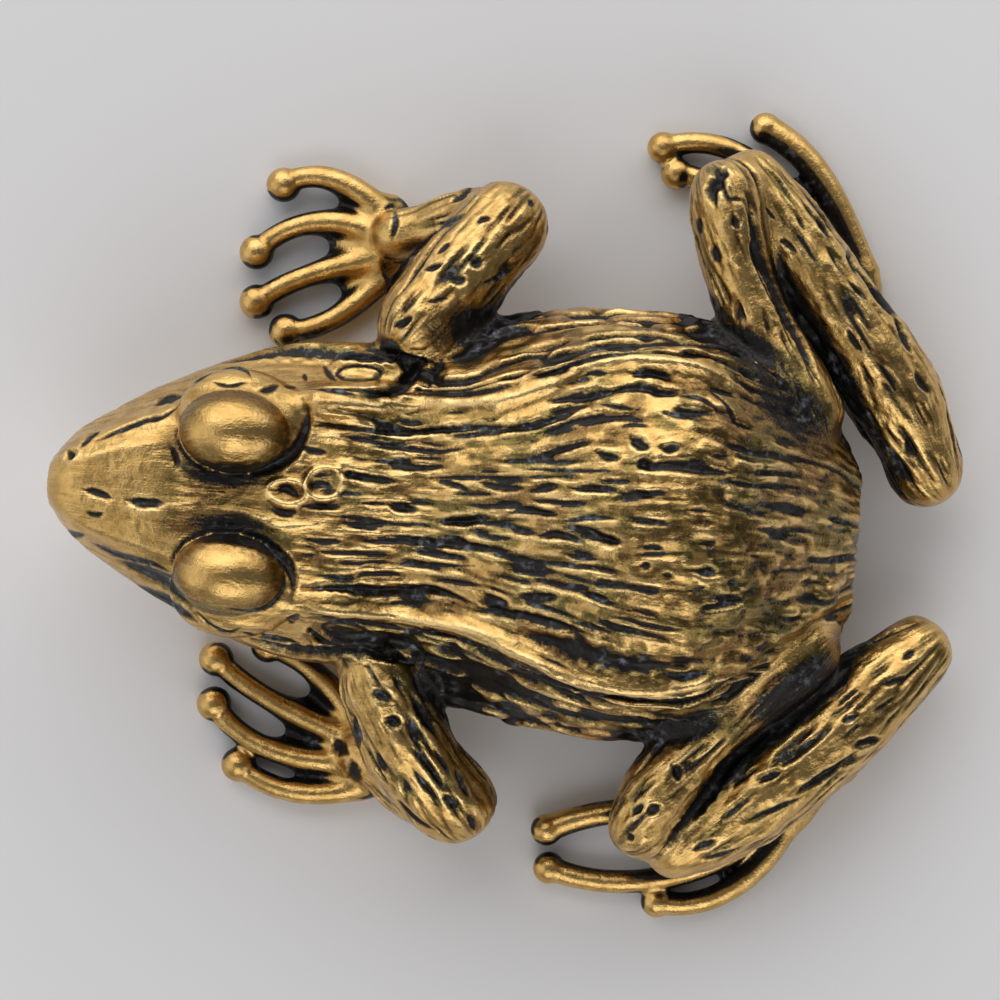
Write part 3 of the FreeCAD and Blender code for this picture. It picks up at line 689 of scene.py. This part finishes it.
def grow_crinkles(relief, kinds, areas, calm, bend):
    """Lumps and crinkles between the folds, and brown mottling over them, with dark crumbs and painted shade
    on the rump.
    """
    along, around = relief.along, relief.around
    lump = noise(31, along / 1.3, around / 0.8) - 0.5
    small = noise(32, along / 0.55, around / 0.4) - 0.5
    grit = noise(33, along / 0.26, around / 0.22) - 0.5
    rough = calm * np.where(kinds["digit"] | kinds["eye"] | kinds["web"], 0.0, 1.0)
    rough = rough * np.where(kinds["body"], 0.35 + 0.65 * areas.nape + 0.8 * areas.brow, 1.0)
    relief.height += rough * (0.10 * lump + (0.07 + 0.03 * areas.rump) * small
                              + (0.04 + 0.03 * areas.rump) * grit)
    relief.height += np.where(kinds["digit"], 0.02, 0.0) * calm * small

    # On the rump the mottling is heavier and dark crumbs are added: partly patina, partly painted shade where
    # the rump slopes away from the light.
    mottle = smooth(noise(41, along / 0.75 + bend, around / 0.34 + bend), 0.38 - 0.12 * areas.rump, 0.72)
    covered = np.where(kinds["body"], areas.nape * 0.42, np.where(kinds["limb"], 0.16, 0.0))
    rump_crumbs_and_painted_shade = areas.rump * np.where(kinds["body"], 0.50, 0.0) * smooth(0.1 - grit - small, 0.0, 0.4)
    relief.dark = np.maximum(relief.dark, calm * np.maximum(covered * mottle, rump_crumbs_and_painted_shade))


def press_by_hand(relief):
    """The folds, grooves and stains that have a place of their own."""
    for table in (HEAD_GROOVES, BACK_GROOVES, RIGHT_LEG_GROOVES, LEFT_LEG_GROOVES, ARM_GROOVES):
        for width, depth, *route in table:
            relief.cut(width, depth, *route)
    for width, dark, *route in STAINS:
        relief.stain(width, dark, *route)
    for width, height, *route in FOLDS:
        relief.raise_up(width, height, *route)
    # Two ring-shaped scars behind the eyes, and the shallow valley along the snout.
    relief.raise_up(0.34, 0.20, *oval(10.6, 0.3, 0.85, 0.52), closed=True)
    relief.raise_up(0.34, 0.20, *oval(12.15, 0.8, 0.8, 0.66, 20), closed=True)
    relief.cut(2.2, 0.10, (1.6, -0.1), (3.6, -0.2), (5.6, -0.2), dark=0.12)
    # The right nostril, and the rims of the eardrums.
    relief.raise_up(0.16, 0.07, *oval(1.15, 1.15, 0.42, 0.26, 35), closed=True)
    relief.cut(0.34, 0.14, (1.0, 1.05), (1.3, 1.25))
    relief.cut(0.14, 0.10, *oval(13.2, 5.6, 0.95, 0.32, 4), closed=True, dark=0.8)
    relief.cut(0.14, 0.08, *oval(13.5, -5.45, 1.0, 0.34, -6), closed=True, dark=0.8)


def carve(relief, points, normals, quads, owner, kinds):
    """All the relief: grown where the folds only have a habit, and listed one by one where they have a place.
    """
    calm = calm_of(relief, points, normals, quads, owner, kinds)
    areas = Areas(relief.along, relief.b)
    bend = noise(21, relief.along / 2.5, relief.around / 1.5)
    grow_folds(relief, kinds, areas, calm, bend)
    grow_crinkles(relief, kinds, areas, calm, bend)
    press_by_hand(relief)
    relief.dark[kinds["web"]] = 1.0
    # Painted shade: the eyes' steep and lower sides are darkened by their slope.
    painted_shade_on_eye_sides = smooth(-normals[:, 2], -0.88, -0.5)
    relief.dark = np.where(kinds["eye"], np.maximum(relief.dark, 0.40 * painted_shade_on_eye_sides), relief.dark)


def shade_of(points, normals, fine, wide):
    """How closed in each spot is, from near and from far."""
    near_reaches, far_reach = (0.3, 0.8, 1.2), 2.4
    near = sum(np.clip(1 - fine.at(points + normals * reach) / reach, 0, 1) for reach in near_reaches)
    far = np.clip(1 - wide.at(points + normals * far_reach) / far_reach, 0, 1)
    return near / len(near_reaches), far


def patina_and_shade_of(relief, normals, kinds, near, far, cavity):
    """How dark each spot is: its stains and painted shade, closed corners, the inner sides of the digits, and
    small hollows.
    """
    looser = np.where(kinds["limb"], 0.12, 0.0)
    patina = np.maximum(relief.dark, smooth(near, 0.24 + looser, 0.62 + looser))
    from_far = np.where(kinds["limb"], 0.6, 0.85) * smooth(far, 0.42 + looser, 0.85 + looser)
    between_digits = kinds["digit"] * smooth(far, 0.10, 0.35) * smooth(-normals[:, 2], -0.75, -0.45)
    patina = np.maximum(patina, np.maximum(from_far, 0.95 * between_digits))
    return np.clip(patina + 2.2 * np.clip(cavity, -0.1, 0.15), 0, 1)


nodes = ORDER + sorted(set(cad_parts) - set(ORDER))
field, label = melted_field(nodes, CELL, BAND)
field.values = blur(field.values, 1)
soften_neck(field)
wide_field, _ = melted_field(nodes, WIDE_CELL, WIDE_BAND)
points, quads = skin_of(field)
normals = normals_of(points, quads)
owner = label[field.place(points)]

relief = Relief(points, normals, owner, nodes)
kinds = kinds_of(owner, nodes)
carve(relief, points, normals, quads, owner, kinds)
near, far = shade_of(points, normals, field, wide_field)
height = evened(relief.height, quads, 1)
cavity = evened(height, quads, 10) - height
height[points[:, 2] < RESTS_BELOW] = 0
points = points + normals * height[:, None]
points[:, 2] = np.maximum(points[:, 2], 0)
normals = normals_of(points, quads)
values = {
    "patina": patina_and_shade_of(relief, normals, kinds, near, far, cavity),
    "wear": np.clip(0.5 - cavity * 8, 0, 1),
    "along": relief.along,
    "around": relief.around,
}


# --- Pieces ---------------------------------------------------------------------------------------------
# Small regions whose skin is part of a neighbour's piece.
MERGED = {
    "right_back_ridge": "torso", "left_back_ridge": "torso", "right_eardrum": "head", "left_eardrum": "head",
    "right_hand_web": "right_hand", "left_hand_web": "left_hand",
    "right_foot_web": "right_foot", "left_foot_web": "left_foot",
}


def rims_of(faces, count):
    """The open edges of some faces, grouped into connected rims."""
    edges = np.stack([faces, np.roll(faces, -1, axis=1)], axis=2).reshape(-1, 2)
    key = np.sort(edges, axis=1)
    _, index, times = np.unique(key[:, 0] * count + key[:, 1], return_index=True, return_counts=True)
    rim = edges[index[times == 1]]
    if not len(rim):
        return []
    group = np.arange(count)
    while True:
        before = group[rim].copy()
        low = before.min(axis=1)
        np.minimum.at(group, rim[:, 0], low)
        np.minimum.at(group, rim[:, 1], low)
        group[rim] = group[group[rim]]
        if (before == group[rim]).all():
            break
    return [rim[group[rim[:, 0]] == g] for g in np.unique(group[rim[:, 0]])]


def sunk(spots, depth):
    """Points moved down into the casting until they lie at least this deep."""
    step, furthest, rounds = 0.1, 0.3, 3
    for _ in range(rounds):
        slope = np.column_stack([
            field.at(spots + np.eye(3)[axis] * step) - field.at(spots - np.eye(3)[axis] * step)
            for axis in range(3)])
        slope /= np.maximum(np.linalg.norm(slope, axis=1, keepdims=True), 1e-6)
        spots = spots - slope * np.clip(field.at(spots) + depth, 0, furthest)[:, None]
    return spots


def closing(rim, co, first):
    """Hidden faces that close one rim: two rings that sink into the casting, and a fan."""
    ring, inverse = np.unique(rim, return_inverse=True)
    inverse = inverse.reshape(rim.shape)
    middle = co[ring].mean(axis=0)
    radius = np.linalg.norm(co[ring] - middle, axis=1).mean()
    deepest, depth_share = 0.6, 0.3
    depth = min(deepest, depth_share * radius)
    middle = sunk(middle[None], depth)
    skirt = sunk(co[ring], depth)
    added, quads, before = [], [], rim
    for share in (0, 0.4):
        added.append(sunk(skirt + (middle - skirt) * share, depth))
        layer = inverse + first + (len(added) - 1) * len(ring)
        quads.append(np.column_stack([before[:, 1], before[:, 0], layer[:, 0], layer[:, 1]]))
        before = layer
    added.append(middle)
    last = first + 2 * len(ring)
    fan = np.column_stack([before[:, 1], before[:, 0], np.full(len(rim), last)])
    return np.concatenate(added), np.concatenate(quads), fan


def closed_piece(name, faces, material):
    """Some of the skin's faces as a closed mesh with the skin's normals and values."""
    used, inverse = np.unique(faces, return_inverse=True)
    faces = inverse.reshape(faces.shape)
    co, no = points[used], normals[used]
    fans = [np.zeros((0, 3), int)]
    for rim in rims_of(faces, len(used)):
        added, more, fan = closing(rim, co, len(co))
        co = np.concatenate([co, added])
        faces = np.concatenate([faces, more])
        fans.append(fan)
    fans = np.concatenate(fans)
    no = np.concatenate([no, np.tile([0.0, 0.0, 1.0], (len(co) - len(no), 1))])
    mesh = bpy.data.meshes.new(name)
    mesh.vertices.add(len(co))
    mesh.vertices.foreach_set("co", (co * MM).astype(np.float32).ravel())
    mesh.loops.add(faces.size + fans.size)
    mesh.loops.foreach_set("vertex_index", np.concatenate([faces.ravel(), fans.ravel()]).astype(np.int32))
    mesh.polygons.add(len(faces) + len(fans))
    starts = np.concatenate([np.arange(len(faces)) * 4, faces.size + np.arange(len(fans)) * 3])
    mesh.polygons.foreach_set("loop_start", starts.astype(np.int32))
    mesh.update(calc_edges=True)
    mesh.polygons.foreach_set("use_smooth", np.ones(len(mesh.polygons), bool))
    for title, value in values.items():
        attribute = mesh.attributes.new(title, "FLOAT", "POINT")
        padded = np.ones(len(co), np.float32)
        padded[:len(used)] = value[used]
        attribute.data.foreach_set("value", padded)
    mesh.normals_split_custom_set_from_vertices(no.astype(np.float32))
    mesh.materials.append(material)
    piece = bpy.data.objects.new(name, mesh)
    bpy.context.scene.collection.objects.link(piece)
    return piece


# --- Material -------------------------------------------------------------------------------------------
class Nodes:
    """A short way to wire shader nodes."""

    def __init__(self, tree):
        self.tree = tree

    def add(self, kind, inputs=(), **settings):
        node = self.tree.nodes.new("ShaderNode" + kind)
        for key, value in settings.items():
            setattr(node, key, value)
        for key, value in dict(inputs).items():
            if isinstance(value, bpy.types.NodeSocket):
                self.tree.links.new(value, node.inputs[key])
            else:
                node.inputs[key].default_value = value
        return node

    def math(self, operation, first, second):
        return self.add("Math", {0: first, 1: second}, operation=operation).outputs[0]

    def noise(self, vector, scale, detail, rough=0.55):
        node = self.add("TexNoise", {"Vector": vector, "Scale": scale, "Detail": detail, "Roughness": rough})
        return node.outputs["Fac"]

    def ramp(self, value, low, high):
        node = self.add("MapRange", {"Value": value, "From Min": low, "From Max": high},
                        interpolation_type="SMOOTHSTEP")
        return node.outputs["Result"]

    def mix(self, share, first, second):
        node = self.add("Mix", data_type="RGBA")
        for socket, value in ((node.inputs[0], share), (node.inputs[6], first), (node.inputs[7], second)):
            if isinstance(value, bpy.types.NodeSocket):
                self.tree.links.new(value, socket)
            else:
                socket.default_value = value
        return node.outputs[2]

    def value(self, name):
        return self.add("Attribute", attribute_name=name).outputs["Fac"]


# The amounts of patina and painted shade between which the metal turns brown, and black.
BROWN_FROM, BROWN_TO = 0.02, 0.46
BLACK_FROM, BLACK_TO = 0.44, 0.60
GOLD = ((0.74, 0.475, 0.165, 1), (0.58, 0.35, 0.11, 1))
WORN_GOLD = (0.85, 0.59, 0.25, 1)
BROWN = ((0.19, 0.105, 0.036, 1), (0.14, 0.112, 0.035, 1))
# The near-black colour of the patina, and the pale colour of the glints painted on it.
SOOT_AND_PAINTED_GLINT = ((0.019, 0.017, 0.016, 1), (0.17, 0.185, 0.215, 1))


def antiqued_brass():
    """Polished golden brass on what rubs, browned on the slopes, and a near-black patina in the hollows with
    painted glints on it.
    """
    material = bpy.data.materials.new("antiqued_brass")
    material.use_nodes = True
    tree = material.node_tree
    n = Nodes(tree)
    shader = tree.nodes["Principled BSDF"]
    place = n.add("TexCoord").outputs["Object"]
    grains = n.noise(place, 9000, 4)
    blotches = n.noise(place, 1300, 3)
    drifts = n.noise(place, 420, 2)
    stretched = n.add("CombineXYZ", {"X": n.math("MULTIPLY", n.value("along"), 0.45),
                                     "Y": n.math("MULTIPLY", n.value("around"), 2.6)}).outputs[0]
    streaks = n.noise(stretched, 2.2, 3)

    amount = n.math("ADD", n.value("patina"), n.math("MULTIPLY", n.math("SUBTRACT", grains, 0.5), 0.5))
    amount = n.math("ADD", amount, n.math("MULTIPLY", n.math("SUBTRACT", streaks, 0.5), 0.5))
    black = n.ramp(amount, BLACK_FROM, BLACK_TO)
    browned = n.ramp(amount, BROWN_FROM, BROWN_TO)

    gold = n.mix(n.ramp(blotches, 0.35, 0.65), *GOLD)
    gold = n.mix(n.ramp(n.value("wear"), 0.45, 0.9), gold, WORN_GOLD)
    brown = n.mix(n.ramp(drifts, 0.4, 0.62), *BROWN)
    # Painted glints: pale grey-blue spots in the black patina stand in for reflections.
    glints = n.math("MULTIPLY", n.ramp(n.noise(place, 2600, 4), 0.50, 0.74), n.ramp(drifts, 0.44, 0.62))
    soot_with_painted_glints = n.mix(glints, *SOOT_AND_PAINTED_GLINT)
    colour = n.mix(n.math("MULTIPLY", browned, 0.88), gold, brown)
    tree.links.new(n.mix(black, colour, soot_with_painted_glints), shader.inputs["Base Color"])

    tree.links.new(n.math("SUBTRACT", 1.0, n.math("MULTIPLY", black, 0.30)), shader.inputs["Metallic"])
    rough = n.math("ADD", 0.20, n.math("MULTIPLY", blotches, 0.16))
    tree.links.new(n.math("ADD", rough, n.math("MULTIPLY", black, 0.10)), shader.inputs["Roughness"])
    height = n.math("ADD", n.math("MULTIPLY", grains, 0.6), n.math("MULTIPLY", streaks, 0.6))
    height = n.math("ADD", height, n.math("MULTIPLY", n.noise(place, 3800, 2), 0.8))
    bump = n.add("Bump", {"Strength": 0.7, "Distance": 0.00004, "Height": height})
    tree.links.new(bump.outputs[0], shader.inputs["Normal"])
    return material


def torso_shares(faces):
    """The torso's faces in three pieces of one size, from front to back."""
    a = relief.a[faces[:, 0]]
    third = np.searchsorted(np.quantile(a, (1 / 3, 2 / 3)), a)
    names = ("fore_torso_skin", "middle_torso_skin", "rear_torso_skin")
    return {name: faces[third == k] for k, name in enumerate(names)}


def make_pieces():
    """The skin divided among the regions that it belongs to, each closed and riding on the one body."""
    material = antiqued_brass()
    names = [MERGED.get(node, node) for node in nodes]
    group = np.array([nodes.index(name) for name in names])
    part = group[owner[quads[:, 0]]]
    for index, node in enumerate(nodes):
        faces = quads[part == index]
        if not len(faces):
            continue
        stands_for = [other for other, name in zip(nodes, names) if name == node]
        shares = torso_shares(faces) if node == "torso" else {node + "_skin": faces}
        for name, share in shares.items():
            piece = closed_piece(name, share, material)
            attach(piece, "root")
            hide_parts(*stands_for)


make_pieces()


# --- Scene ----------------------------------------------------------------------------------------------
def floor():
    """A pale board that the frog lies on."""
    size = 0.6
    mesh = bpy.data.meshes.new("floor")
    corners = [(-size, -size, 0), (size, -size, 0), (size, size, 0), (-size, size, 0)]
    mesh.from_pydata(corners, [], [(0, 1, 2, 3)])
    board = bpy.data.objects.new("floor", mesh)
    bpy.context.scene.collection.objects.link(board)
    material = bpy.data.materials.new("pale_board")
    material.use_nodes = True
    shader = material.node_tree.nodes["Principled BSDF"]
    shader.inputs["Base Color"].default_value = (0.80, 0.79, 0.795, 1)
    shader.inputs["Roughness"].default_value = 0.6
    mesh.materials.append(material)


def towards(tilt, turn):
    """A direction so many degrees from straight up, turned from +X towards +Y."""
    tilt, turn = math.radians(tilt), math.radians(turn)
    return (math.sin(tilt) * math.cos(turn), math.sin(tilt) * math.sin(turn), math.cos(tilt))


# Soft panels of light in the surrounding room: (tilt, turn, inner and outer half width, strength).
PANELS = [
    (58, 104, 28, 42, 1.65), (62, 185, 22, 38, 0.72), (46, 268, 14, 28, 1.6), (66, 50, 12, 26, 1.2),
    (64, 310, 10, 24, 1.0),
]
ROOM = (0.175, 0.178, 0.184, 1)
DARK_SIDE = (0.10, 0.102, 0.106, 1)
DARK_TOWARDS = (70, -8)
# The photographer's lens straight above, which the metal reflects, and its edge in degrees.
LENS = (0.12, 0.12, 0.12, 1)
LENS_INNER, LENS_OUTER = 9, 26


def cosine(degrees):
    return math.cos(math.radians(degrees))


def studio():
    """A dim room with soft panels of light, made as the world that the frog stands in."""
    world = bpy.data.worlds.new("studio")
    bpy.context.scene.world = world
    world.use_nodes = True
    n = Nodes(world.node_tree)
    direction = n.add("TexCoord").outputs["Generated"]

    def facing(tilt, turn):
        dot = n.add("VectorMath", {0: direction, 1: towards(tilt, turn)}, operation="DOT_PRODUCT")
        return dot.outputs["Value"]

    light = None
    for tilt, turn, inner, outer, strength in PANELS:
        panel = n.math("MULTIPLY", n.ramp(facing(tilt, turn), cosine(outer), cosine(inner)), strength)
        light = panel if light is None else n.math("ADD", light, panel)
    colour = n.add("Mix", data_type="RGBA", blend_type="ADD")
    colour.inputs[0].default_value = 1.0
    room = n.mix(n.ramp(facing(*DARK_TOWARDS), 0.3, 0.9), ROOM, DARK_SIDE)
    world.node_tree.links.new(room, colour.inputs[6])
    world.node_tree.links.new(light, colour.inputs[7])
    lens = n.ramp(facing(0, 0), cosine(LENS_OUTER), cosine(LENS_INNER))
    background = world.node_tree.nodes["Background"]
    world.node_tree.links.new(n.mix(lens, colour.outputs[2], LENS), background.inputs["Color"])


# The camera looks straight down from here, and sees so many mm at the working distance.
CAMERA_PLACE = (-0.000371, 0.00067, 0.205)
SENSOR = 36
WORKING_DISTANCE = 200
FIELD_OF_VIEW = 43.57


def camera():
    """Straight down from a short macro distance."""
    made = bpy.data.objects.new("camera", bpy.data.cameras.new("camera"))
    bpy.context.scene.collection.objects.link(made)
    made.location = CAMERA_PLACE
    made.data.sensor_width = SENSOR
    made.data.lens = SENSOR * WORKING_DISTANCE / FIELD_OF_VIEW
    bpy.context.scene.camera = made


floor()
studio()
camera()
bpy.context.scene.view_settings.view_transform = "Standard"
